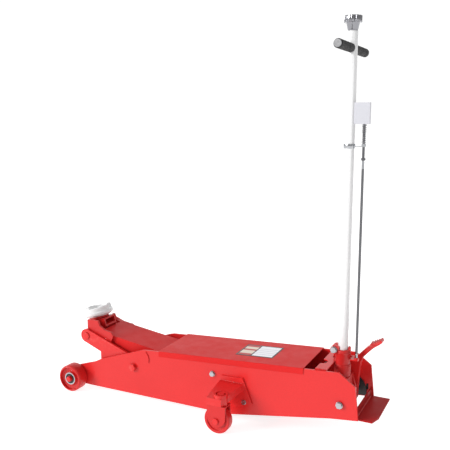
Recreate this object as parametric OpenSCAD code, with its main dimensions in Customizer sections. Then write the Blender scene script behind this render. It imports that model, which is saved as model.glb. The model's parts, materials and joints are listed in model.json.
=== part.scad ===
// Long-chassis service jack: wheeled steel frame, parallel lifting arm with a swivel saddle,
// hydraulic ram worked by an upright handle or a foot pedal.
// +X runs to the handle end, +Y across to the right-hand side, +Z up, wheels standing on Z = 0.

/* [Chassis] */
// outside width over the two side plates (mm)
frame_w = 250; // [210:2:320]
// thickness of a side plate (mm)
plate_t = 8; // [5:1:10]
// thickness of the folded top cover (mm)
cover_t = 3; // [2:0.5:5]
// depth of the cover's folded side flange (mm)
cover_flange = 22; // [12:1:40]

/* [Wheels] */
// front wheel radius (mm)
wheel_r = 60; // [50:0.5:64]
// front wheel tread width (mm)
wheel_w = 54; // [40:1:70]
// caster wheel radius (mm)
caster_r = 55; // [44:0.5:56]
// caster wheel tread width (mm)
caster_w = 35; // [26:1:40]

/* [Lifting arm] */
// outside width over the arm's side plates (mm)
arm_w = 172; // [150:2:176]
// thickness of an arm side plate (mm)
arm_t = 12; // [8:1:14]
// saddle diameter (mm)
saddle_d = 142; // [110:1:160]
// tilt of the saddle and its head, rear edge up (deg)
head_tilt = 14; // [0:1:20]

/* [Handle] */
// outside radius of the handle tube (mm)
tube_r = 19; // [16:0.5:21]
// height of the top of the handle tube (mm)
tube_top = 1532; // [1100:2:1600]
// height of the cross bar (mm)
bar_z = 1472; // [1000:2:1500]
// overall length of the cross bar with its grips (mm)
bar_len = 368; // [240:2:420]
// radius of a rubber grip (mm)
grip_r = 16.5; // [13:0.5:19]

/* [Hidden] */
$fn = 64;
fit = 0.05;
origin_x = 657;
hw = frame_w / 2;
inner = hw - plate_t;
axle_z = wheel_r;
// pivots, as [distance behind the front axle, height]
link_piv = [311, 152];
link_nose = [50, 250];
head_piv = [152, 238];
arm_piv = head_piv + link_piv - link_nose;
yoke_piv = [1238, 168];
tie_at = [703, 193];
handle_x = 1210;
rod_x = 1263;
lever_r = 60;
lever_a = 5.5;
lever_pin = [arm_piv[0] + lever_r * sin(lever_a), arm_piv[1] - lever_r * cos(lever_a)];
ram_z = 88;
caster_x = 790;
caster_trail = 11;
caster_y = 221;
wheel_in = hw + 2;
saddle_c = [36, 315];
bolt_x = [760, 848];
clamp_at = [1180, 341];
rod_r = 5;
pump_y = 64;
lug_r = 28;
hand_a = 30;
foot_a = 11;
red = [0.78, 0.06, 0.07];
steel = [0.70, 0.71, 0.73];
black = [0.06, 0.06, 0.06];
white = [0.93, 0.93, 0.92];
bright = [0.80, 0.81, 0.83];

function top_z(x) = 239 + (x - 373) * 53 / 857;
function arm_z(x) = 275 - (x - 83) * 47 / 347;

// move from "behind the front axle" to the part's own origin
module placed() {
    translate([-origin_x, 0, 0]) children();
}

// a profile in X-Z given a thickness from y0 to y1
module slab(y0, y1) {
    translate([0, y1, 0]) rotate([90, 0, 0]) linear_extrude(y1 - y0) children();
}

// a round bar across the jack
module bar(at, r, y0, y1) {
    translate([at[0], y0, at[1]]) rotate([-90, 0, 0]) cylinder(r = r, h = y1 - y0);
}

// a round bar along the jack
module rail(x0, x1, y, z, r) {
    translate([x0, y, z]) rotate([0, 90, 0]) cylinder(r = r, h = x1 - x0);
}

// the same thing on both sides, mirrored in the middle plane
module both() {
    children();
    mirror([0, 1, 0]) children();
}

module spot(at, r) {
    translate(at) circle(r = r);
}

// a hexagon-headed bolt whose head stands on the face y = y0, pointing to -Y
module hex_bolt(at, af, head, shank_r, y0, shank) {
    translate([at[0], y0, at[1]]) rotate([90, 0, 0]) {
        cylinder(r = af * 0.62, h = head * 0.2);
        translate([0, 0, head * 0.2]) cylinder(r = af / sqrt(3), h = head * 0.8, $fn = 6);
        translate([0, 0, -shank]) cylinder(r = shank_r, h = shank);
    }
}

// a coil spring along +Z drawn as closed turns of square wire on one backbone
module coil(r, wire, pitch, turns) {
    for (i = [0 : turns - 1]) translate([0, 0, i * pitch]) rotate_extrude() {
        translate([r - wire / 2, 0]) square(wire);
    }
    translate([r - wire / 4, -wire / 4, 0]) cube([wire / 2, wire / 2, pitch * (turns - 1) + wire]);
}

// ---------------------------------------------------------------- chassis
module side_profile() {
    difference() {
        union() {
            spot([0, axle_z], 34);
            polygon([[0, axle_z - 33.6], [71, 26], [771, 32], [1084, 86], [1203, 106], [1309, 118],
                     [1295, 247], [1232, top_z(1232)], [373, 239], [352, 234], [297, 214], [138, 159],
                     [104, 141], [17, 113], [-20, 86], [-33.6, axle_z]]);
        }
        spot([0, axle_z], 12.5 + fit);
        spot(link_piv, 11 + fit);
        spot(tie_at, 6 + fit);
        spot(yoke_piv, 8 + fit);
    }
}

module side_plate() {
    difference() {
        slab(-hw, -inner) side_profile();
        for (x = bolt_x) bar([x, 101], 5 + fit, -hw - 1, -inner + 1);
    }
}

module left_side_plate() {
    color(red) placed() side_plate();
}

module right_side_plate() {
    color(red) placed() mirror([0, 1, 0]) side_plate();
}

module cover_profile(drop) {
    polygon([[444, top_z(444) - drop], [1094, top_z(1094) - drop],
             [1094, top_z(1094) + cover_t], [444, top_z(444) + cover_t]]);
}

module top_cover() {
    color(red) placed() {
        slab(-hw - cover_t, hw + cover_t) cover_profile(-0.05);
        both() slab(-hw - cover_t, -hw) cover_profile(cover_flange);
    }
}

module cover_label() {
    z = top_z(858) + cover_t + 0.02;
    color(white) placed() translate([858, 4, z]) rotate([0, -3.539, 0]) {
        translate([-82, -66, 0]) cube([164, 132, 0.6]);
    }
}

module cross_plate() {
    color(red) placed() difference() {
        translate([1136, -inner, 284]) cube([45, 2 * inner, 6]);
        translate([1134, -30, 283]) cylinder(r = 24, h = 8);
        translate([1160.5, 27, 283]) cube([13, 12, 8]);
    }
}

module tie_bars() {
    color(steel) placed() {
        difference() {
            bar(tie_at, 11, -inner, inner);
            bar(tie_at, 6 + fit, -inner - 1, inner + 1);
        }
        bar([1120, 232], 11, -inner, inner);
    }
}

module frame_bolts() {
    color(bright) placed() both() {
        hex_bolt(tie_at, 19, 9, 6, -hw, hw - 3);
        for (x = bolt_x) hex_bolt([x, 101], 16, 7, 5, -hw - 7, plate_t + 6);
    }
}

module cover_clips() {
    color(red) placed() both() slab(-hw - 4, -hw) {
        polygon([[373, 232], [381, 233], [391, 219], [396, 202], [394, 184], [386, 184], [387, 202],
                 [383, 216]]);
    }
}

module foot_plate() {
    color(red) placed() {
        translate([0, 0, 116]) linear_extrude(6) {
            polygon([[1293, -inner], [1360, -inner], [1374, -70], [1374, inner], [1293, inner]]);
        }
        translate([1293, -inner, 122]) cube([6, 2 * inner, 30]);
    }
}

module front_axle() {
    color(red) placed() {
        bar([0, axle_z], 12.5, -wheel_in - wheel_w - 4, wheel_in + wheel_w + 4);
        both() bar([0, axle_z], 11, -wheel_in - wheel_w - 8, -wheel_in - wheel_w - 4);
    }
}

module axle_collars() {
    color(black) placed() both() difference() {
        bar([0, axle_z], 24, -wheel_in + 0.5, -hw);
        bar([0, axle_z], 12.5 + fit, -wheel_in, -hw + 1);
    }
}

module arm_shaft() {
    color(steel) placed() {
        bar(arm_piv, 20, -inner, inner);
    }
}

module link_bolts() {
    color(red) placed() both() {
        hex_bolt(link_piv, 30, 13, 11, -hw, plate_t);
        bar(link_piv, 14, -inner, -100);
    }
}

module caster_bracket() {
    difference() {
        union() {
            difference() {
                translate([740, 0, 0]) rotate([90, 0, 90]) linear_extrude(140) {
                    polygon([[-hw, 177], [-250, 149], [-250, 119.5], [-hw, 150]]);
                }
                translate([845, -132, 80]) rotate([0, 0, -18.9]) translate([0, -200, 0]) cube([160, 260, 130]);
            }
            translate([caster_x, -caster_y, 119.5]) cylinder(r = 28, h = 43);
            slab(-hw - 7, -hw) {
                polygon([[740, 120], [740, 190], [746, 196], [841, 201], [884, 98], [838, 88], [745, 88]]);
            }
        }
        translate([caster_x, -caster_y, 90]) cylinder(r = 10 + fit, h = 80);
        translate([caster_x, -caster_y, 154]) cylinder(r = 20, h = 40);
        for (x = bolt_x) bar([x, 101], 5 + fit, -hw - 30, -inner);
    }
}

module left_caster_bracket() {
    color(red) placed() caster_bracket();
}

module right_caster_bracket() {
    color(red) placed() mirror([0, 1, 0]) caster_bracket();
}

// ---------------------------------------------------------------- rolling gear
module front_wheel() {
    translate([0, -wheel_in, axle_z]) rotate([90, 0, 0]) rotate_extrude() {
        polygon([[28, 0], [34, 0], [34, 6], [48, 6], [48, 2], [wheel_r - 3, 0], [wheel_r, 3],
                 [wheel_r, wheel_w - 5], [wheel_r - 5, wheel_w], [wheel_r - 9, wheel_w],
                 [wheel_r - 11, wheel_w - 12], [32, wheel_w - 14], [31, wheel_w - 5], [28, wheel_w - 5]]);
    }
}

module wheel_bearing() {
    translate([0, -wheel_in, axle_z]) rotate([90, 0, 0]) difference() {
        cylinder(r = 28, h = wheel_w - 4);
        translate([0, 0, -1]) cylinder(r = 12.5 + fit, h = wheel_w + 4);
        translate([0, 0, wheel_w - 8]) cylinder(r = 23, h = 10);
    }
}

module left_front_wheel() {
    color(red) placed() front_wheel();
}

module right_front_wheel() {
    color(red) placed() mirror([0, 1, 0]) front_wheel();
}

module left_bearing() {
    color(bright) placed() wheel_bearing();
}

module right_bearing() {
    color(bright) placed() mirror([0, 1, 0]) wheel_bearing();
}

module fork() {
    x0 = caster_x - 50;
    difference() {
        union() {
            translate([x0, -caster_y - 24.5, 112.5]) cube([80, 49, 6]);
            for (y = [-24.5, 19]) slab(-caster_y + y, -caster_y + y + 5.5) {
                spot([caster_x - 10, 71], 40);
                translate([x0, 71]) square([80, 44]);
            }
        }
        bar([caster_x - caster_trail, caster_r], 8 + fit, -caster_y - 30, -caster_y + 30);
        translate([caster_x, -caster_y, 80]) cylinder(r = 10 + fit, h = 60);
    }
}

module kingpin() {
    translate([caster_x, -caster_y, 111]) cylinder(r = 14, h = 1.48);
    translate([caster_x, -caster_y, 111]) cylinder(r = 10, h = 44);
    translate([caster_x, -caster_y, 118.55]) cylinder(r = 18, h = 0.9);
    translate([caster_x, -caster_y, 154.5]) cylinder(r = 16, h = 8, $fn = 6);
}

module caster_wheel() {
    translate([caster_x - caster_trail, -caster_y, caster_r]) rotate([90, 0, 0]) rotate_extrude() {
        polygon([[8 + fit, -caster_w / 2 - 1], [18, -caster_w / 2 - 1], [20, -caster_w / 2 + 5],
                 [40, -caster_w / 2 + 5], [42, -caster_w / 2], [caster_r - 3, -caster_w / 2],
                 [caster_r, -caster_w / 2 + 3], [caster_r, caster_w / 2 - 3], [caster_r - 3, caster_w / 2],
                 [42, caster_w / 2], [40, caster_w / 2 - 5], [20, caster_w / 2 - 5], [18, caster_w / 2 + 1],
                 [8 + fit, caster_w / 2 + 1]]);
    }
}

module caster_axle() {
    ax = caster_x - caster_trail;
    bar([ax, caster_r], 8, -caster_y - 24.5, -caster_y + 24.5);
    bar([ax, caster_r], 12, -caster_y - 30, -caster_y - 24.5);
    bar([ax, caster_r], 12, -caster_y + 24.5, -caster_y + 30);
}

module left_caster_fork() {
    color(red) placed() fork();
}

module right_caster_fork() {
    color(red) placed() mirror([0, 1, 0]) fork();
}

module left_caster_wheel() {
    color(red) placed() caster_wheel();
}

module right_caster_wheel() {
    color(red) placed() mirror([0, 1, 0]) caster_wheel();
}

module left_caster_pins() {
    color(red) placed() {
        kingpin();
        caster_axle();
    }
}

module right_caster_pins() {
    color(red) placed() mirror([0, 1, 0]) {
        kingpin();
        caster_axle();
    }
}

// ---------------------------------------------------------------- lifting arm
module arm_side_profile() {
    difference() {
        union() {
            spot(head_piv, 26);
            spot(arm_piv, 44);
            polygon([[83, arm_z(83) - 8], [92, arm_z(92)], [430, arm_z(430)], [450, 160], [arm_piv[0], 97],
                     [345, 100], [150, 213], [95, 240]]);
        }
        spot(head_piv, 13 + fit);
        spot(arm_piv, 20 + fit);
    }
}

module lever_profile() {
    difference() {
        union() {
            spot(arm_piv, 34);
            spot(lever_pin, 19);
            polygon([[arm_piv[0] - 34, arm_piv[1]], [arm_piv[0] + 34, arm_piv[1]],
                     [lever_pin[0] + 19, lever_pin[1]], [lever_pin[0] - 19, lever_pin[1]]]);
        }
        spot(arm_piv, 20 + fit);
        spot(lever_pin, 10 + fit);
    }
}

module lift_arm() {
    h = arm_w / 2;
    color(red) placed() {
        both() slab(-h, -h + arm_t) arm_side_profile();
        slab(-h + arm_t, h - arm_t) {
            polygon([[106, arm_z(106) - 5], [106, arm_z(106)], [430, arm_z(430)], [430, arm_z(430) - 10],
                     [190, arm_z(190) - 10], [190, arm_z(190) - 5]]);
        }
        both() slab(-38, -26) lever_profile();
        both() slab(-h + arm_t, -38) difference() {
            spot(arm_piv, 28);
            spot(arm_piv, 20 + fit);
        }
    }
}

module lever_bar() {
    color(steel) placed() bar(lever_pin, 10, -38, 38);
}

module link_plate() {
    difference() {
        slab(-111, -101) union() {
            spot(link_nose, 31);
            spot(link_piv, 36);
            polygon([[60.8, 278.6], [323.5, 185.3], [link_piv[0], 118], [220, 128], [128, 146],
                     [128, 187.6], [39.2, 221.4]]);
        }
        bar(link_nose, 10 + fit, -112, -100);
        bar(link_piv, 14 + fit, -112, -100);
    }
}

module left_link() {
    color(red) placed() link_plate();
}

module right_link() {
    color(red) placed() mirror([0, 1, 0]) link_plate();
}

module cheek_profile() {
    spot([166, 262], 20);
    polygon([[48, 250], [48, 322], [106, 324], [114, 302], [140, 287], [166, 281.5], [185.5, 262],
             [177, 238], [152, 213], [120, 212], [50, 225]]);
}

module low_cheek_profile() {
    polygon([[48, 250], [48, 300], [58, 300], [70, 272], [100, 270], [152, 263], [177, 250], [177, 238],
             [152, 213], [120, 212], [50, 225]]);
}

module cheek(y0) {
    difference() {
        slab(y0, y0 + 11) union() {
            spot(link_nose, 26);
            spot(head_piv, 25.5);
            children();
        }
        bar(head_piv, 13 + fit, y0 - 1, y0 + 12);
        bar(link_nose, 10 + fit, y0 - 1, y0 + 12);
    }
}

module saddle_head() {
    color(red) placed() {
        cheek(-99) cheek_profile();
        cheek(88) low_cheek_profile();
        slab(-88, 88) polygon([[48, 262], [48, 298], [58, 298], [58, 262]]);
        slab(-88, 44) polygon([[48, 290], [48, 310], [58, 312], [58, 290]]);
        difference() {
            slab(-37, 44) polygon([[48, 262], [48, 306], [94, 317], [104, 280], [94, 262]]);
            slab(-29, 36) polygon([[62, 286], [62, 302], [110, 313], [110, 288]]);
        }
        difference() {
            slab(-72, 72) union() {
                spot(head_piv, 20);
                polygon([[48, 264], [92, 264], [97, 236], [152, 235], [152, 219], [48, 232]]);
            }
            bar(head_piv, 13 + fit, -80, 80);
        }
        translate([saddle_c[0], 0, saddle_c[1]]) rotate([0, -head_tilt, 0]) {
            translate([0, 0, -11]) cylinder(r = 46, h = 10);
            translate([0, 0, -30]) cylinder(r = 30, h = 20);
        }
    }
}

module head_pins() {
    color(steel) placed() both() {
        bar(link_nose, 10, -112, -88);
        bar(link_nose, 16, -114.5, -112);
        bar(head_piv, 13, -99.5, 0);
    }
}

module saddle() {
    r = saddle_d / 2;
    color(white) placed() translate([saddle_c[0], 0, saddle_c[1]]) rotate([0, -head_tilt, 0]) {
        rotate_extrude() {
            polygon([[0, 0.1], [r - 14, 0.1], [r - 3, 6], [r, 10], [r, 20], [r - 3, 23], [r - 24, 23],
                     [r - 28, 18], [0, 18]]);
        }
        for (a = [49.5 : 90 : 319.5]) rotate([0, 0, a]) {
            rotate_extrude(angle = 44) translate([r - 23, 22]) square([17, 22]);
        }
    }
}

// ---------------------------------------------------------------- hydraulics
module unit_cradle() {
    color(red) placed() {
        difference() {
            translate([596, -inner, 40]) cube([10, 2 * inner, 90]);
            rail(590, 610, 0, ram_z, 34 + fit);
        }
        translate([985, -inner, 86]) cube([75, 2 * inner, 6]);
    }
}

module ram_cylinder() {
    color(steel) placed() difference() {
        rail(520, 880, 0, ram_z, 34);
        rail(545, 865, 0, ram_z, 24);
        rail(510, 550, 0, ram_z, 16 + fit);
    }
}

module reservoir() {
    color(black) placed() difference() {
        union() {
            rail(620, 860, 0, 109, 58);
            translate([800, 0, 160]) cylinder(r = 12, h = 14);
        }
        rail(610, 870, 0, ram_z, 34 + fit);
        rail(632, 848, 0, 109, 52);
    }
}

module pump_block() {
    color(black) placed() difference() {
        union() {
            translate([880, -34, 72]) cube([105, 68, 68]);
            translate([985, -70, 92]) cube([145, 160, 90]);
            rail(1130, 1142, 0, 140, 15);
            rail(1130, 1142, pump_y, 140, 15);
        }
        rail(1010, 1150, 0, 140, 8 + fit);
        rail(1010, 1150, pump_y, 140, 8 + fit);
        rail(1090, 1150, -40, 120, 7 + fit);
    }
}

module pump_guard() {
    color(black) placed() slab(inner - 6, inner) {
        difference() {
            polygon([[1195, 112], [1282, 119], [1279, 150], [1269, 174], [1252, 192], [1232, 200],
                     [1195, 203]]);
            spot(yoke_piv, 12 + fit);
        }
    }
}

module release_valve() {
    color(bright) placed() {
        rail(1095, 1160, -40, 120, 7);
        rail(1150, 1160, -40, 120, 11);
    }
}

module ram_rod() {
    color(bright) placed() {
        rail(lever_pin[0] + 46.02, 760, 0, ram_z, 16);
        rail(760, 785, 0, ram_z, 24 - fit);
    }
}

module crosshead() {
    color(steel) placed() difference() {
        union() {
            slab(-24, 24) translate([lever_pin[0] - 24, 60]) square([56, 56]);
            rail(lever_pin[0] + 32, lever_pin[0] + 46, 0, ram_z, 22);
            translate([lever_pin[0] + 38, -62, ram_z - 8]) cube([8, 124, 16]);
        }
        slab(-25, 25) translate([lever_pin[0] - 11.6, 66]) square([23.2, 44]);
    }
}

module return_springs() {
    x0 = lever_pin[0] + 46;
    color(steel) placed() both() translate([x0, -54, ram_z]) rotate([0, 90, 0]) {
        coil(8, 3, (593 - x0) / 11, 12);
    }
}

// ---------------------------------------------------------------- handle
module yoke_shaft() {
    color(bright) placed() {
        bar(yoke_piv, 12, -inner, inner);
        bar(yoke_piv, 8, -hw - 4, hw + 4);
        both() hex_bolt(yoke_piv, 22, 9, 6, -hw - 4, 1);
    }
}

function swing(r, a) = [yoke_piv[0] + r * sin(a), yoke_piv[1] - r * cos(a)];

module yoke_ear() {
    difference() {
        union() {
            spot(yoke_piv, 24);
            spot(swing(lug_r, hand_a), 13);
            polygon([[1188, 238], [1241, 238], [1262, 168], [1265, 148], [1240, 136], [1216, 158]]);
        }
        spot(yoke_piv, 12 + fit);
    }
}

module handle_socket() {
    color(red) placed() {
        difference() {
            union() {
                translate([handle_x, 0, 225]) cylinder(r = 28, h = 117);
                translate([handle_x, 0, 328]) cylinder(r = 29.5, h = 5);
                translate([handle_x, 0, 237]) cylinder(r = 32, h = 44);
                slab(-22, 22) {
                    spot(clamp_at, 15);
                    polygon([[1180, 326.2], [1200, 320], [1200, 355.8], [1180, 355.8]]);
                }
                slab(-6, 6) polygon([[1232, 318], [1240, 318], [1240, 350], [1236, 355], [1232, 355]]);
            }
            translate([handle_x, 0, 244]) cylinder(r = tube_r + fit, h = 120);
            translate([1140, -3, 300]) cube([60, 6, 70]);
            bar(clamp_at, 5 + fit, -40, 40);
        }
        translate([1185, -42, 204]) cube([58, 84, 34]);
        both() slab(-42, -28) yoke_ear();
        bar(swing(lug_r, hand_a), 9, -28, 28);
    }
}

module handle_fasteners() {
    color(bright) placed() {
        bar(clamp_at, 5, -22, 22);
        both() bar(clamp_at, 13, -24, -22);
        both() translate([clamp_at[0], -24, clamp_at[1]]) rotate([90, 0, 0]) cylinder(r = 12, h = 10, $fn = 6);
        rod_nut(1124.02);
    }
}

module handle_tube() {
    color(white) placed() difference() {
        translate([handle_x, 0, 246]) cylinder(r = tube_r, h = tube_top - 246);
        translate([handle_x, 0, 240]) cylinder(r = tube_r - 3, h = tube_top);
        bar([handle_x, bar_z], 11 + fit, -30, 30);
    }
}

module cross_bar() {
    color(white) placed() {
        difference() {
            bar([handle_x, bar_z], 11, -bar_len / 2 + 3, bar_len / 2 - 3);
            translate([handle_x, 0, bar_z - 20]) cylinder(r = 6.5, h = 40);
        }
        both() bar([handle_x, bar_z], 13, -bar_len / 2, -bar_len / 2 + 3);
    }
}

module grip() {
    translate([handle_x, -tube_r - 2, bar_z]) rotate([90, 0, 0]) rotate_extrude() {
        len = bar_len / 2 - tube_r - 6;
        polygon([[11 + fit, 0], [grip_r - 1.5, 0], [grip_r, 1.5], [grip_r, len - 2], [grip_r - 2, len],
                 [11 + fit, len]]);
    }
}

module left_grip() {
    color(black) placed() grip();
}

module right_grip() {
    color(black) placed() mirror([0, 1, 0]) grip();
}

module rod_guide() {
    color(bright) placed() difference() {
        union() {
            translate([handle_x + tube_r + 0.02, -9, 1121]) cube([rod_x + 8 - handle_x - tube_r, 18, 3]);
            translate([handle_x, 0, 1115]) difference() {
                cylinder(r = tube_r + 3, h = 16);
                translate([0, 0, -1]) cylinder(r = tube_r + fit, h = 18);
            }
        }
        translate([rod_x, 0, 1110]) cylinder(r = rod_r + fit, h = 30);
    }
}

module lock_rod() {
    color(bright) placed() translate([rod_x, 0, 303]) cylinder(r = rod_r, h = 905);
}

module lock_paddle() {
    color(steel) placed() {
        translate([1229, -21, 1203]) cube([58, 3, 77]);
        translate([1284, -18, 1203]) cube([3, 14, 77]);
        translate([1229, -18, 1203]) cube([3, 6, 77]);
        translate([1257, -18, 1208.02]) cube([12, 25, 20]);
    }
}

module rod_nut(z) {
    translate([rod_x, 0, z]) difference() {
        cylinder(r = 9, h = 8, $fn = 6);
        translate([0, 0, -1]) cylinder(r = rod_r + fit, h = 20);
    }
}

module lock_collar() {
    color(bright) placed() rod_nut(1072);
}

module lock_latch() {
    color(red) placed() {
        difference() {
            union() {
                translate([1163, 30, 303]) cube([87, 6, 5]);
                translate([1241, -11, 303]) cube([9, 47, 5]);
                translate([1246, -11, 303]) cube([25, 22, 5]);
                translate([rod_x, 0, 303]) cylinder(r = 8, h = 11);
            }
            translate([rod_x, 0, 300]) cylinder(r = rod_r + fit, h = 20);
        }
        translate([1167, 33, 293]) cylinder(r = 3.5, h = 11);
    }
}

module lock_spring() {
    color(steel) placed() translate([rod_x, 0, 1134]) coil(8, 2, 6, 12);
}

module release_knob() {
    color(bright) placed() difference() {
        translate([handle_x, 0, 0]) {
            translate([0, 0, tube_top + 1]) cylinder(r = 18, h = 4);
            translate([0, 0, tube_top + 5]) cylinder(r1 = 19, r2 = 24, h = 24);
            translate([0, 0, tube_top + 29]) difference() {
                cylinder(r = 32, h = 24);
                for (i = [0 : 11]) rotate([0, 0, 30 * i]) translate([33.5, 0, -1]) cylinder(r = 4, h = 26);
            }
        }
        translate([handle_x, 0, tube_top]) cylinder(r = 5 + fit, h = 20);
    }
}

module release_rod() {
    color(steel) placed() translate([handle_x, 0, 262]) cylinder(r = 5, h = tube_top + 18 - 262);
}

// ---------------------------------------------------------------- foot pump
tread_from = [1303, 355.5];
tread_to = [1348, 379];
tread_u = (tread_to - tread_from) / norm(tread_to - tread_from);
tread_v = [-tread_u[1], tread_u[0]];

module tread() {
    for (i = [0 : 4]) {
        a = tread_from + 10 * i * tread_u;
        polygon([a - tread_v, a + 10 * tread_u - tread_v, a + 10 * tread_u, a + 6 * tread_u + 6 * tread_v, a]);
    }
}

module pedal_profile() {
    difference() {
        union() {
            spot(yoke_piv, 18);
            spot(swing(lug_r, foot_a), 11);
            polygon([[1350, 372], tread_to, tread_from, [1280, 332.5], [1261, 311.5], [1245, 290.5],
                     [1234, 273.5], [1230, 250], [1225, 217], [1220.4, 185], [1220.4, 168], [1236, 152],
                     [1240, 130], [1254, 122], [1256, 143], [1257, 165], [1259, 199], [1263, 249],
                     [1268, 280], [1277, 301.6], [1300, 328], [1319, 347.5], [1341, 363.5]]);
        }
        spot(yoke_piv, 12 + fit);
    }
}

module foot_pedal() {
    color(red) placed() {
        slab(pump_y - 15, pump_y + 15) pedal_profile();
        slab(pump_y - 18, pump_y + 18) {
            tread();
            polygon([[1350, 372], tread_to, tread_from, [1280, 332.5], [1280, 305], [1300, 328],
                     [1319, 347.5], [1341, 363.5]]);
        }
    }
}

module pedal_spring() {
    color(steel) placed() translate([yoke_piv[0], pump_y + 17, yoke_piv[1]]) rotate([-90, 0, 0]) {
        coil(15, 3, 4.5, 6);
    }
}

module plunger(y, a) {
    face = swing(lug_r, a)[0] - (a == hand_a ? 9 : 11) - 0.7;
    rail(1050, face - 8, y, 140, 8);
    rail(face - 8, face, y, 140, 10);
}

module hand_plunger() {
    color(bright) placed() plunger(0, hand_a);
}

module foot_plunger() {
    color(bright) placed() plunger(pump_y, foot_a);
}

left_side_plate();
right_side_plate();
top_cover();
cover_label();
cross_plate();
tie_bars();
frame_bolts();
cover_clips();
foot_plate();
front_axle();
axle_collars();
arm_shaft();
link_bolts();
left_caster_bracket();
right_caster_bracket();
left_front_wheel();
right_front_wheel();
left_bearing();
right_bearing();
left_caster_fork();
right_caster_fork();
left_caster_wheel();
right_caster_wheel();
left_caster_pins();
right_caster_pins();
lift_arm();
lever_bar();
left_link();
right_link();
saddle_head();
head_pins();
saddle();
unit_cradle();
ram_cylinder();
reservoir();
pump_block();
release_valve();
ram_rod();
crosshead();
return_springs();
yoke_shaft();
handle_socket();
handle_fasteners();
handle_tube();
cross_bar();
left_grip();
right_grip();
rod_guide();
lock_rod();
lock_paddle();
lock_collar();
lock_latch();
lock_spring();
release_knob();
release_rod();
foot_pedal();
pedal_spring();
hand_plunger();
foot_plunger();
pump_guard();
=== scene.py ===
import json
import math
import random

import bmesh
import bpy
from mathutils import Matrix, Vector


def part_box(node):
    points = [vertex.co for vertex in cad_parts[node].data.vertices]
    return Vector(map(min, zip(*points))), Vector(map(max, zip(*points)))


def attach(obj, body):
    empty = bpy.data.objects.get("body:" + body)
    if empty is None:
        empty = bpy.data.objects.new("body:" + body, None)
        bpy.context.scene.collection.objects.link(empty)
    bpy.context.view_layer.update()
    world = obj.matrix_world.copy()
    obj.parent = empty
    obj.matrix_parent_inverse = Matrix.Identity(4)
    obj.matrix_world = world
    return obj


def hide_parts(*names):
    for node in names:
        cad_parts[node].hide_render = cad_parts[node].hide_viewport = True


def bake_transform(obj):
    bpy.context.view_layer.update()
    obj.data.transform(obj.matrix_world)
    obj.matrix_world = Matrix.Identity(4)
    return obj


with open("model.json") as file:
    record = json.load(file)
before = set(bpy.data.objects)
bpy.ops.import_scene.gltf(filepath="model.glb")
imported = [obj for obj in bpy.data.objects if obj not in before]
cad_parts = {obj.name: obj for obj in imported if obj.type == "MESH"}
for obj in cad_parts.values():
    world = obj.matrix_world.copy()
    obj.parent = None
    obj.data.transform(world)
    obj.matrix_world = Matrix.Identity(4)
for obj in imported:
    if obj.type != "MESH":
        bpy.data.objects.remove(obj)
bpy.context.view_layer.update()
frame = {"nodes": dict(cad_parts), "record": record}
nodes = frame["nodes"]
rng = random.Random(7)  # unevenness of the weld beads
MM = 0.001
SIDES = ((-1, "left"), (1, "right"))


def centre(node):
    lo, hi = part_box(node)
    return Vector([(lo[i] + hi[i]) / 2 for i in range(3)])


X0 = centre("front_axle").x


def at(x, y, z):
    """Millimetres behind the front axle, across and up, to metres in the frame."""
    return Vector((X0 + x * MM, y * MM, z * MM))


# ---------------------------------------------------------------- materials
COAT_ROUGHNESS = 0.12
# noise scales, in repeats per metre
PAINT_DRIFT, PAINT_BLOTCH, PAINT_PORES, PAINT_GLOSS, PAINT_PEEL, PAINT_CHIPS = 4, 11, 190, 22, 260, 60
METAL_GLOSS = 18
RUBBER_TONE, RUBBER_GLOSS, RUBBER_GRAIN = 30, 80, 420
WELD_TONE, WELD_GRAIN = 90, 300


def material(name, colour, rough, metal=0.0, coat=0.0, spec=0.5):
    m = bpy.data.materials.new(name)
    m.use_nodes = True
    t = m.node_tree
    b = t.nodes["Principled BSDF"]
    b.inputs["Base Color"].default_value = (*colour, 1)
    b.inputs["Roughness"].default_value = rough
    b.inputs["Metallic"].default_value = metal
    b.inputs["Coat Weight"].default_value = coat
    b.inputs["Coat Roughness"].default_value = COAT_ROUGHNESS
    b.inputs["Specular IOR Level"].default_value = spec
    return m, t, b


def link(t, a, b):
    t.links.new(a, b)


def coords(t, scale=(1, 1, 1)):
    c = t.nodes.new("ShaderNodeTexCoord")
    m = t.nodes.new("ShaderNodeMapping")
    m.inputs["Scale"].default_value = scale
    link(t, c.outputs["Object"], m.inputs["Vector"])
    return m.outputs["Vector"]


def noise(t, vec, scale, detail=3.0, rough=0.5):
    n = t.nodes.new("ShaderNodeTexNoise")
    n.inputs["Scale"].default_value = scale
    n.inputs["Detail"].default_value = detail
    n.inputs["Roughness"].default_value = rough
    link(t, vec, n.inputs["Vector"])
    return n.outputs["Fac"]


def ramp(t, fac, stops):
    r = t.nodes.new("ShaderNodeValToRGB")
    e = r.color_ramp.elements
    while len(e) < len(stops):
        e.new(0.5)
    for i, (p, c) in enumerate(stops):
        e[i].position = p
        e[i].color = (*c, 1) if len(c) == 3 else c
    link(t, fac, r.inputs["Fac"])
    return r.outputs["Color"]


def grey(v):
    return (v, v, v)


def roughen(t, b, fac, low, high):
    """Lets the roughness wander between two values with a noise."""
    link(t, ramp(t, fac, [(0.3, grey(low)), (0.7, grey(high))]), b.inputs["Roughness"])


def bump(t, b, height, strength, distance):
    n = t.nodes.new("ShaderNodeBump")
    n.inputs["Strength"].default_value = strength
    n.inputs["Distance"].default_value = distance
    link(t, height, n.inputs["Height"])
    link(t, n.outputs["Normal"], b.inputs["Normal"])


def mix(t, fac, a, b):
    """Colour a where fac is 0 and b where it is 1. Each is a colour or a socket."""
    n = t.nodes.new("ShaderNodeMix")
    n.data_type = "RGBA"
    link(t, fac, n.inputs[0])
    for i, v in ((6, a), (7, b)):
        if isinstance(v, tuple):
            n.inputs[i].default_value = (*v, 1)
        else:
            link(t, v, n.inputs[i])
    return n.outputs[2]


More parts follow.
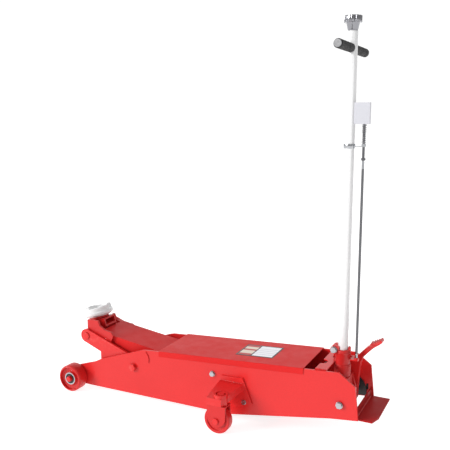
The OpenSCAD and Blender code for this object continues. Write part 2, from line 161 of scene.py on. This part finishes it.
def edge_wear(t, vec):
    """A mask that is 1 in patches along outer edges."""
    g = t.nodes.new("ShaderNodeNewGeometry")
    e = ramp(t, g.outputs["Pointiness"], [(0.56, grey(0)), (0.68, grey(1))])
    n = ramp(t, noise(t, vec, PAINT_CHIPS, 4), [(0.5, grey(0)), (0.62, grey(1))])
    m = t.nodes.new("ShaderNodeMath")
    m.operation = "MULTIPLY"
    link(t, e, m.inputs[0])
    link(t, n, m.inputs[1])
    return m.outputs[0]


def paint(name, colour, shade, rough=0.34, coat=0.2, spec=0.3, wear=(0.72, 0.1, 0.09)):
    """Sprayed enamel: soft colour drift, orange peel, dust in the pores and thin paint on the edges."""
    m, t, b = material(name, colour, rough, coat=coat, spec=spec)
    v = coords(t)
    drift = ramp(t, noise(t, v, PAINT_DRIFT, 2), [(0.35, shade), (0.65, colour)])
    dusty = tuple(0.93 * c for c in colour)
    dust = ramp(t, noise(t, v, PAINT_PORES, 2), [(0.42, dusty), (0.5, colour)])
    coat_colour = mix(t, noise(t, v, PAINT_BLOTCH, 2), drift, dust)
    if wear:
        coat_colour = mix(t, edge_wear(t, v), coat_colour, wear)
    link(t, coat_colour, b.inputs["Base Color"])
    roughen(t, b, noise(t, v, PAINT_GLOSS, 3), rough - 0.06, rough + 0.08)
    bump(t, b, noise(t, v, PAINT_PEEL, 2), 0.12, 0.0006)
    return m


def metal(name, colour, rough, stretch=(1, 1, 1), scale=120, depth=0.0003, tone=0.8):
    """Bare or plated metal with fine tool marks along one axis."""
    m, t, b = material(name, colour, rough, metal=1.0)
    v = coords(t, stretch)
    n = noise(t, v, scale, 3)
    link(t, ramp(t, n, [(0.3, tuple(tone * c for c in colour)), (0.7, colour)]), b.inputs["Base Color"])
    roughen(t, b, noise(t, coords(t), METAL_GLOSS, 3), rough * 0.75, min(1, rough * 1.3))
    bump(t, b, n, 0.25, depth)
    return m


def rubber():
    m, t, b = material("grip_rubber", (0.02, 0.02, 0.021), 0.62, spec=0.4)
    v = coords(t)
    tone = ramp(t, noise(t, v, RUBBER_TONE, 4), [(0.35, (0.012, 0.012, 0.013)), (0.7, (0.034, 0.033, 0.034))])
    link(t, tone, b.inputs["Base Color"])
    roughen(t, b, noise(t, v, RUBBER_GLOSS, 2), 0.52, 0.74)
    bump(t, b, noise(t, v, RUBBER_GRAIN, 2), 0.3, 0.0004)
    return m


RED = (0.66, 0.016, 0.016)


def weld_metal():
    m, t, b = material("painted_weld", RED, 0.4, coat=0.2, spec=0.35)
    v = coords(t)
    tone = ramp(t, noise(t, v, WELD_TONE, 3), [(0.3, (0.42, 0.008, 0.008)), (0.6, RED)])
    link(t, tone, b.inputs["Base Color"])
    bump(t, b, noise(t, v, WELD_GRAIN, 3), 0.5, 0.0008)
    return m


EVEN = (1, 1, 1)
M = {
    "red_paint": paint("red_enamel", RED, (0.6, 0.013, 0.013)),
    # The castings' own rougher, less glossy red, made darker as painted shade of their recessed faces.
    "red_cast": paint("red_casting_painted_shade", (0.58, 0.014, 0.014), (0.5, 0.01, 0.01), rough=0.42, coat=0.15),
    "red_cover": paint("red_cover_enamel", (0.62, 0.018, 0.018), (0.57, 0.015, 0.015),
                       rough=0.4, coat=0, spec=0.1, wear=None),
    # A darker red for the foot plate: painted shade, as the plate lies in the shade of the frame.
    "red_painted_shade": paint("red_enamel_painted_shade", (0.4, 0.012, 0.012), (0.35, 0.01, 0.01),
                      rough=0.45, coat=0, spec=0.08, wear=None),
    "white_paint": paint("white_enamel", (0.8, 0.8, 0.8), (0.77, 0.77, 0.78), rough=0.3, wear=None),
    "grey_paint": paint("grey_enamel", (0.55, 0.55, 0.59), (0.52, 0.52, 0.56), rough=0.42, wear=None),
    "plug_grey": paint("grey_plug", (0.16, 0.16, 0.17), (0.13, 0.13, 0.14), rough=0.45, wear=None),
    # Black enamel: the real black wheel seals, and the pump block and reservoir that model.json gives this
    # slot, made black as painted shade deep inside the chassis.
    "black_steel": paint("black_enamel_and_painted_shade", (0.018, 0.018, 0.019), (0.012, 0.012, 0.013), rough=0.42, wear=None),
    "bare_steel": metal("turned_steel", (0.5, 0.5, 0.51), 0.34, (1, 18, 1)),
    "spring_steel": metal("spring_wire", (0.36, 0.36, 0.38), 0.32, (1, 1, 12)),
    "bright_zinc": metal("zinc_plate", (0.5, 0.51, 0.53), 0.2, EVEN, 90),
    "chrome": metal("chrome_plate", (0.3, 0.3, 0.32), 0.12, EVEN, 50, 0.0001, 0.93),
    # Dark metal for the lock rod and its collar, darker than their plating: painted dark reflection along the
    # rod.
    "dark_rod": metal("rod_painted_dark_reflection", (0.16, 0.16, 0.17), 0.2, (1, 1, 0.1), 150),
    "black_rubber": rubber(),
    "weld": weld_metal(),
}


# ---------------------------------------------------------------- helpers for new pieces
def piece(name, bm, body, mat, smooth=True):
    """Makes an object of a bmesh and lets it ride on a body."""
    me = bpy.data.meshes.new(name)
    bmesh.ops.recalc_face_normals(bm, faces=bm.faces)
    bm.to_mesh(me)
    bm.free()
    ob = bpy.data.objects.new(name, me)
    bpy.context.scene.collection.objects.link(ob)
    for p in me.polygons:
        p.use_smooth = smooth
    me.materials.append(M[mat])
    if body:
        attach(ob, body)
    return ob


def soften(ob, width, segments=2, angle=32):
    """Rounds the edges sharper than angle, once split corners are joined and flat faces are whole again."""
    w = ob.modifiers.new("weld", "WELD")
    w.merge_threshold = 0.02 * MM
    f = ob.modifiers.new("flat_faces", "DECIMATE")
    f.decimate_type = "DISSOLVE"
    f.angle_limit = math.radians(0.6)
    b = ob.modifiers.new("round_edges", "BEVEL")
    b.width = width
    b.segments = segments
    b.limit_method = "ANGLE"
    b.angle_limit = math.radians(angle)
    b.harden_normals = True
    b.use_clamp_overlap = True
    return ob


def skin(bm, rings, closed=False):
    """Joins rings of vertices with quads. The ends are capped, or closed joins the last ring to the first."""
    pairs = list(zip(rings, rings[1:]))
    if closed:
        pairs.append((rings[-1], rings[0]))
    for r0, r1 in pairs:
        count = len(r0)
        for i in range(count):
            j = (i + 1) % count
            bm.faces.new((r0[i], r0[j], r1[j], r1[i]))
    if not closed:
        bm.faces.new(rings[0][::-1])
        bm.faces.new(rings[-1])


def square_axes(axis):
    """A unit axis and two unit vectors square to it."""
    axis = Vector(axis).normalized()
    u = axis.orthogonal().normalized()
    return axis, u, axis.cross(u)


def lathe(origin, axis, profile, steps=64, closed=False):
    """Turns (along, radius) pairs in millimetres about an axis."""
    bm = bmesh.new()
    axis, u, w = square_axes(axis)
    rings = []
    for along, radius in profile:
        ring = []
        for i in range(steps):
            a = 2 * math.pi * i / steps
            out = u * math.cos(a) + w * math.sin(a)
            ring.append(bm.verts.new(origin + axis * along * MM + out * radius * MM))
        rings.append(ring)
    skin(bm, rings, closed)
    return bm


def sweep(path, radii, sides=10):
    """A tube along a path, with a radius for each point."""
    bm = bmesh.new()
    rings = []
    n = len(path)
    up = None
    for i, p in enumerate(path):
        d = (path[min(i + 1, n - 1)] - path[max(i - 1, 0)]).normalized()
        if up is None:
            up = d.orthogonal().normalized()
        up = (up - d * up.dot(d)).normalized()
        side = d.cross(up)
        turns = [2 * math.pi * k / sides for k in range(sides)]
        rings.append([bm.verts.new(p + (up * math.cos(a) + side * math.sin(a)) * radii[i]) for a in turns])
    skin(bm, rings)
    return bm


def helix(origin, axis, length, radius, wire, turns, steps=26):
    """Round spring wire with a closed turn at each end. Sizes in millimetres, wire is its diameter."""
    axis, u, w = square_axes(axis)
    total = turns + 2
    path = []
    for i in range(int(total * steps) + 1):
        k = i / steps
        if k < 1:
            h = wire * k
        elif k > total - 1:
            h = length - wire - wire * (total - k)
        else:
            h = wire + (length - 3 * wire) * (k - 1) / turns
        a = 2 * math.pi * k
        path.append(origin + axis * (h + wire / 2) * MM + (u * math.cos(a) + w * math.sin(a)) * radius * MM)
    return sweep(path, [wire / 2 * MM] * len(path), 9)


BEAD_STEP = 1.3  # millimetres between the rings of a straight bead
RIPPLE = 0.9  # radians of ripple from one ring to the next


def weld_bead(name, first, last, radius):
    """A rippled, slightly uneven bead of weld along a line between two points in millimetres."""
    a, b = at(*first), at(*last)
    count = max(2, int((b - a).length / (BEAD_STEP * MM)))
    path = [a.lerp(b, i / count) for i in range(count)] + [b]
    radii = []
    for i in range(len(path)):
        ripple = 0.82 + 0.18 * abs(math.sin(i * RIPPLE)) + rng.uniform(-0.05, 0.05)
        taper = min(1.0, 0.45 + 0.2 * min(i, len(path) - 1 - i))
        radii.append(radius * MM * ripple * taper)
    piece(name, sweep(path, radii), "chassis", "weld")


# ---------------------------------------------------------------- finish of the CAD nodes
def repaint(ob, mat):
    ob.data.materials.clear()
    ob.data.materials.append(mat)


# Castings take the darker casting red, which is partly painted shade.
CAST = {"left_front_wheel", "right_front_wheel", "left_caster_wheel", "right_caster_wheel", "handle_socket",
        "saddle_head", "left_caster_fork", "right_caster_fork"}
ROUND = {  # edge rounding, in millimetres
    "left_side_plate": 1.2, "right_side_plate": 1.2, "top_cover": 1.4, "cross_plate": 1.0,
    "foot_plate": 1.2, "left_caster_bracket": 1.8, "right_caster_bracket": 1.8, "lift_arm": 1.8,
    "left_link": 1.4, "right_link": 1.4, "saddle_head": 1.6, "saddle": 1.6, "left_caster_fork": 1.2,
    "right_caster_fork": 1.2, "handle_socket": 1.4, "lock_latch": 0.9, "lock_paddle": 0.8,
    "foot_pedal": 1.4, "release_knob": 1.2, "left_front_wheel": 1.6, "right_front_wheel": 1.6,
    "left_caster_wheel": 1.5, "right_caster_wheel": 1.5, "frame_bolts": 0.7, "link_bolts": 1.0,
    "yoke_shaft": 0.8, "handle_fasteners": 0.7, "rod_guide": 0.6, "lock_collar": 0.5,
    "cover_clips": 1.0, "unit_cradle": 1.0, "pump_block": 1.5, "reservoir": 1.5, "crosshead": 1.2,
    "pump_guard": 1.0, "head_pins": 1.0, "left_caster_pins": 0.9, "right_caster_pins": 0.9,
    "handle_tube": 0.6, "cross_bar": 0.8,
}
# The dark metal of the lock rod and collar is a painted dark reflection.
# The foot plate's darker red is painted shade.
FINISH = {"top_cover": "red_cover", "lift_arm": "red_cover", "foot_plate": "red_painted_shade", "lock_rod": "dark_rod",
          "lock_collar": "dark_rod"}
for row in frame["record"]["subparts"]:
    name = row["node"]
    if name not in nodes:
        continue
    ob = nodes[name]
    mat = "red_cast" if name in CAST else FINISH.get(name, row["material_slot"])
    if mat in M:
        repaint(ob, M[mat])
    if name in ROUND:
        soften(ob, ROUND[name] * MM)


LABEL_DARK = (0.03, 0.03, 0.03)
LABEL_RED = (0.45, 0.03, 0.03)
LABEL_WARM = (0.72, 0.6, 0.5)
LABEL_PALE = (0.82, 0.82, 0.86)
LABEL_RULE = (0.6, 0.6, 0.66)


def label_print():
    """Plain printed film: dark border, a warm block at one end, a pale panel with faint ruled lines."""
    m, t, b = material("label_film", (0.8, 0.8, 0.8), 0.35, spec=0.4)
    lo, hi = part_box("cover_label")
    c = t.nodes.new("ShaderNodeTexCoord")
    s = t.nodes.new("ShaderNodeSeparateXYZ")
    link(t, c.outputs["Object"], s.inputs[0])

    def span(out, a, z):
        n = t.nodes.new("ShaderNodeMapRange")
        n.inputs["From Min"].default_value = a
        n.inputs["From Max"].default_value = z
        link(t, out, n.inputs["Value"])
        return n.outputs["Result"]

    def band(out, edges):
        r = t.nodes.new("ShaderNodeValToRGB")
        r.color_ramp.interpolation = "CONSTANT"
        e = r.color_ramp.elements
        while len(e) < len(edges):
            e.new(0.5)
        for i, (p, k) in enumerate(edges):
            e[i].position = p
            e[i].color = (*grey(k), 1)
        link(t, out, r.inputs["Fac"])
        return r.outputs["Color"]

    u = span(s.outputs[0], lo[0], hi[0])
    v = span(s.outputs[1], lo[1], hi[1])
    blocks = band(v, [(0, 0), (0.2, 1), (0.48, 0), (0.6, 1), (0.8, 0)])
    rules = band(v, [(0, 0), (0.2, 1), (0.24, 0), (0.36, 1), (0.4, 0), (0.52, 1), (0.56, 0), (0.68, 1),
                     (0.72, 0)])
    panels = mix(t, band(u, [(0, 0), (0.42, 1)]),
                 mix(t, blocks, LABEL_RED, LABEL_WARM), mix(t, rules, LABEL_PALE, LABEL_RULE))
    parted = mix(t, band(u, [(0, 0), (0.385, 1), (0.42, 0)]), panels, LABEL_DARK)
    long_edges = band(v, [(0, 1), (0.06, 0), (0.94, 1)])
    short_edges = band(u, [(0, 1), (0.04, 0), (0.96, 1)])
    framed = mix(t, short_edges, mix(t, long_edges, parted, LABEL_DARK), LABEL_DARK)
    link(t, framed, b.inputs["Base Color"])
    roughen(t, b, noise(t, coords(t), 40, 2), 0.3, 0.42)
    repaint(nodes["cover_label"], m)


label_print()

# ---------------------------------------------------------------- handle and springs: grips, coils, threads
tube = centre("handle_tube")
bar_z = centre("cross_bar").z

GRIP_BORE = 11.1
RIB_PITCH = 7.2
RIB_DEPTH = 1.5


def grip(name, node, side):
    """A rubber sleeve with turned grooves, from its inner end outwards."""
    lo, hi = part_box(node)
    y0, y1 = (hi[1], lo[1]) if side < 0 else (lo[1], hi[1])
    length = abs(y1 - y0) / MM
    radius = (hi[2] - lo[2]) / 2 / MM
    valley = radius - RIB_DEPTH
    prof = [(0, GRIP_BORE), (0, radius - 1.6), (1.5, radius)]
    pos = 7.0
    while pos < length - 12:
        prof += [(pos, radius), (pos + 0.9, valley), (pos + 2.3, valley), (pos + 3.2, radius)]
        pos += RIB_PITCH
    prof += [(length - 2.5, radius), (length - 0.5, valley), (length, radius - 3), (length, GRIP_BORE)]
    bm = lathe(Vector((tube.x, y0, bar_z)), (0, side, 0), prof, 56, closed=True)
    ob = piece(name, bm, "handle", "black_rubber")
    soften(ob, 0.25 * MM, 1, 40)
    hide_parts(node)


for side, name in SIDES:
    grip("ribbed_grip_" + name, name + "_grip", side)


def coil(name, node, start, end, radius, wire, turns):
    """A spring between two points, made in place of a CAD node."""
    bm = helix(start, end - start, (end - start).length / MM, radius, wire, turns)
    ob = piece(name, bm, None, "spring_steel")
    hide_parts(node)
    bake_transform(ob)


lo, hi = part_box("lock_spring")
spring_x = centre("lock_spring").x
coil("lock_coil", "lock_spring", Vector((spring_x, 0, lo[2])), Vector((spring_x, 0, hi[2])),
     7.9, 2.0, 9)

lo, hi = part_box("return_springs")
spring_r = (hi[2] - lo[2]) / 2 / MM
spring_z = (lo[2] + hi[2]) / 2
for side, name in SIDES:
    y = side * (hi[1] - spring_r * MM)
    coil(name + "_return_coil", "return_springs", Vector((lo[0], y, spring_z)),
         Vector((hi[0], y, spring_z)), spring_r - 2.4, 2.2, 14)

ROD_R = 5.0
THREAD_PITCH = 1.2


def thread(name, z0, z1):
    """A rolled thread on the lock rod, as close rings."""
    prof = []
    z = 0.0
    while z < (z1 - z0):
        prof += [(z, ROD_R - 0.1), (z + THREAD_PITCH / 2, ROD_R + 0.35)]
        z += THREAD_PITCH
    prof.append((z, ROD_R - 0.1))
    start = Vector((centre("lock_rod").x, 0, z0 * MM))
    piece(name, lathe(start, (0, 0, 1), prof, 28), "lock", "bright_zinc")


thread("rod_thread_top", 1040, 1071)
thread("rod_thread_foot", 315, 330)

# ---------------------------------------------------------------- saddle: a fuller rim
turn = next(j for j in frame["record"]["behaviour"]["joints"] if j["name"] == "saddle_turn")
saddle_up = Vector(turn["axis"])
saddle_along = Vector((saddle_up.z, 0, -saddle_up.x))
saddle_foot = Vector(turn["pos_m"])
lo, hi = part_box("saddle")
saddle_r = (hi[1] - lo[1]) / 2 / MM
# sections of the rim as (inwards from the saddle's radius, above its foot), in millimetres
WALL = [(23.5, 21), (4, 21), (5.5, 39.5), (8, 41.5), (20, 41.5), (22.5, 39.5)]
LUG = [(24.5, 21), (3.6, 21), (5.2, 41), (7.5, 43.4), (21, 43.4), (23.6, 41)]


def rim_part(bm, mid, half, section, steps=16):
    """A stretch of the saddle's raised rim, from mid - half to mid + half degrees."""
    rings = []
    for k in range(steps + 1):
        a = math.radians(mid - half + 2 * half * k / steps)
        out = saddle_along * math.cos(a) + Vector((0, 1, 0)) * math.sin(a)
        rings.append([bm.verts.new(saddle_foot + out * ((saddle_r - inset) * MM) + saddle_up * (z * MM))
                      for inset, z in section])
    skin(bm, rings)


bm = bmesh.new()
for mid in (116.5, 296.5):
    rim_part(bm, mid, 25, WALL)
for mid in (71.5, 161.5, 251.5, 341.5):
    rim_part(bm, mid, 23, LUG)
soften(piece("saddle_rim", bm, "saddle_disc", "white_paint", smooth=False), 1.4 * MM, 3)

# ---------------------------------------------------------------- cross bar plugs and pin caps
PLUG_R = 14.2
PLUG_DEPTH = 2.6
for side, name in SIDES:
    lo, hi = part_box("cross_bar")
    end = lo[1] if side < 0 else hi[1]
    bm = lathe(Vector((tube.x, end - side * PLUG_DEPTH * MM, bar_z)), (0, side, 0),
               [(0, 6), (0, PLUG_R - 0.6), (1.4, PLUG_R), (2.2, PLUG_R), (2.5, PLUG_R - 0.6), (2.5, 6.4),
                (1.2, 5.2), (1.2, 0.6)], 48)
    piece(name + "_bar_plug", bm, "handle", "plug_grey")


def pin_cap(name, x, z, side, face, radius, proud):
    """A painted, slightly domed cap over the end of a pin."""
    bm = lathe(at(x, side * face, z), (0, side, 0),
               [(-0.6, radius), (proud - 1.2, radius), (proud - 0.4, radius - 0.8), (proud, radius - 2.4),
                (proud + 0.2, radius * 0.4), (proud + 0.25, 0.5)], 48)
    piece(name, bm, "head", "red_paint")


for side, name in SIDES:
    pin_cap(name + "_nose_cap", 50, 250, side, 114.5, 16.2, 1.6)
    pin_cap(name + "_pivot_cap", 152, 238, side, 99.5, 13.2, 1.2)

# ---------------------------------------------------------------- front wheels: seals and axle centre marks
SEAL_DEPTH = 4
MARK_DEPTH = 3.0
for side, name in SIDES:
    c = centre(name + "_bearing")
    lo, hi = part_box(name + "_bearing")
    face = (lo[1] if side < 0 else hi[1]) - side * SEAL_DEPTH * MM
    bm = lathe(Vector((c.x, face, c.z)), (0, side, 0),
               [(0, 12.7), (0.0, 22.6), (1.6, 22.6), (2.0, 21.5), (1.2, 20), (1.2, 15.5), (2.2, 14),
                (2.2, 12.7)], 64, closed=True)
    piece(name + "_wheel_seal", bm, name + "_wheel", "black_steel")
    lo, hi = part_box("front_axle")
    end = lo[1] if side < 0 else hi[1]
    bm = lathe(Vector((c.x, end - side * MARK_DEPTH * MM, c.z)), (0, side, 0),
               [(0, 3.4), (1.2, 3.4), (1.6, 2.0), (2.2, 2.0), (2.6, 2.8), (2.95, 2.2)], 24)
    piece(name + "_axle_centre", bm, "chassis", "bright_zinc")

# ---------------------------------------------------------------- chassis: welds and the painted shade in the slot
BRACKET_FACE = 132.6  # just outside the plate of a caster bracket
FOOT_END, CROSS_END = 113.5, 115.5  # just inside the side plates
for side, name in SIDES:
    y = side * BRACKET_FACE
    weld_bead(name + "_bracket_weld", (742, y, 179), (847, y, 179), 2.6)
    weld_bead(name + "_foot_weld", (1300, side * FOOT_END, 116), (1300, side * FOOT_END, 146), 2.4)
    weld_bead(name + "_cross_weld", (1138, side * CROSS_END, 291), (1179, side * CROSS_END, 291), 2.2)
weld_bead("foot_seam", (1300, -112, 123.5), (1300, 112, 123.5), 2.4)


def ring_weld(name, x, z, radius, bead, body):
    """A bead of weld once round an upright tube. Its ends meet."""
    path, radii = [], []
    count = int(2 * math.pi * radius / 1.6)
    for i in range(count + 1):
        a = 2 * math.pi * i / count
        path.append(at(x, 0, z) + Vector((math.cos(a), math.sin(a), 0)) * radius * MM)
        ripple = 0.84 + 0.16 * abs(math.sin(i * RIPPLE)) + rng.uniform(-0.04, 0.04)
        radii.append(bead * MM * ripple)
    piece(name, sweep(path, radii), body, "weld")


ring_weld("socket_weld", (tube.x - X0) / MM, 282, 29.2, 2.6, "handle")

SLOT_X, SLOT_Z, SLOT_HALF = 1282, 156, 8.5
SLOT_STEPS = 36


def slot_outline(radius):
    """Points of an upright slot with round ends."""
    points = []
    for i in range(SLOT_STEPS):
        a = 2 * math.pi * i / SLOT_STEPS
        shift = SLOT_HALF if math.sin(a) >= 0 else -SLOT_HALF
        points.append((SLOT_X + radius * math.cos(a), SLOT_Z + shift + radius * math.sin(a)))
    return points


# A black pad fills the slot's outline on the far plate's inner face: painted shade of the slot opening.
wide, narrow = slot_outline(4.4), slot_outline(3.0)
slot_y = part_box("right_side_plate")[0][1] - 0.4 * MM
bm = bmesh.new()
skin(bm, [[bm.verts.new(Vector((X0 + x * MM, slot_y - depth * MM, z * MM))) for x, z in outline]
          for outline, depth in ((wide, 0.0), (wide, 1.0), (narrow, 1.2), (narrow, 0.1))])
piece("slot_painted_shade", bm, "chassis", "black_rubber")

# ---------------------------------------------------------------- camera and light
CAMERA_SPOT = (X0 + 1.85845, -2.3293, 1.2155)
CAMERA_DOWN, CAMERA_TURN = 9.265, 26.482  # degrees
BACKDROP_WAY = (-0.446, 0.895, 0)  # the way the camera looks, level
BACKDROP_EDGE = (0.45, 0.76)  # cosine from that way, from the room to the full backdrop
ROOM_LIGHT, BACKDROP_LIGHT = 0.5, 1.06
FILL_SPOT, FILL_SIZE, FILL_POWER = (0.2, 0.3, 3.6), (3, 2), 12
KEY_WAY, KEY_SPREAD, KEY_STRENGTH = (0.72, 0.66, -0.36), 24, 2.6
FLOOR_HALF = 60  # metres
FLOOR_GLOW = 0.8

scene = bpy.context.scene


def show(name, data, location=(0, 0, 0), rotation=(0, 0, 0)):
    ob = bpy.data.objects.new(name, data)
    ob.location = location
    ob.rotation_euler = rotation
    scene.collection.objects.link(ob)
    return ob


def facing(way):
    """The rotation of a lamp that shines along way."""
    return Vector(way).to_track_quat("-Z", "Y").to_euler()


cam_data = bpy.data.cameras.new("view")
cam_data.lens = 51.2
cam_data.sensor_width = 36.0
scene.camera = show("view", cam_data, CAMERA_SPOT,
                    (math.radians(90 - CAMERA_DOWN), 0, math.radians(CAMERA_TURN)))
scene.view_settings.view_transform = "Standard"

# a white backdrop beyond the jack and a duller room on the near side
world = bpy.data.worlds.new("studio")
scene.world = world
world.use_nodes = True
wt = world.node_tree
way = wt.nodes.new("ShaderNodeTexCoord")
dot = wt.nodes.new("ShaderNodeVectorMath")
dot.operation = "DOT_PRODUCT"
dot.inputs[1].default_value = BACKDROP_WAY
span = wt.nodes.new("ShaderNodeMapRange")
span.inputs["From Min"].default_value, span.inputs["From Max"].default_value = BACKDROP_EDGE
span.inputs["To Min"].default_value = ROOM_LIGHT
span.inputs["To Max"].default_value = BACKDROP_LIGHT
link(wt, way.outputs["Generated"], dot.inputs[0])
link(wt, dot.outputs["Value"], span.inputs["Value"])
link(wt, span.outputs["Result"], wt.nodes["Background"].inputs["Strength"])
wt.nodes["Background"].inputs["Color"].default_value = (1, 1, 1, 1)

fill = bpy.data.lights.new("fill", "AREA")
fill.shape = "RECTANGLE"
fill.size, fill.size_y = FILL_SIZE
fill.energy = FILL_POWER
show("fill", fill, FILL_SPOT, facing(-Vector(FILL_SPOT)))
key = bpy.data.lights.new("key", "SUN")
key.energy = KEY_STRENGTH
key.angle = math.radians(KEY_SPREAD)
show("key", key, rotation=facing(KEY_WAY))

bm = bmesh.new()
bmesh.ops.create_grid(bm, x_segments=1, y_segments=1, size=FLOOR_HALF)
floor_mesh = bpy.data.meshes.new("floor")
bm.to_mesh(floor_mesh)
bm.free()
floor = show("floor", floor_mesh)
m, t, b = material("floor_sheet", (0.93, 0.93, 0.93), 0.9, spec=0.1)
link(t, ramp(t, noise(t, coords(t), 3, 2), [(0.3, grey(0.58)), (0.7, grey(0.6))]), b.inputs["Base Color"])
b.inputs["Emission Color"].default_value = (1, 1, 1, 1)
b.inputs["Emission Strength"].default_value = FLOOR_GLOW
floor_mesh.materials.append(m)
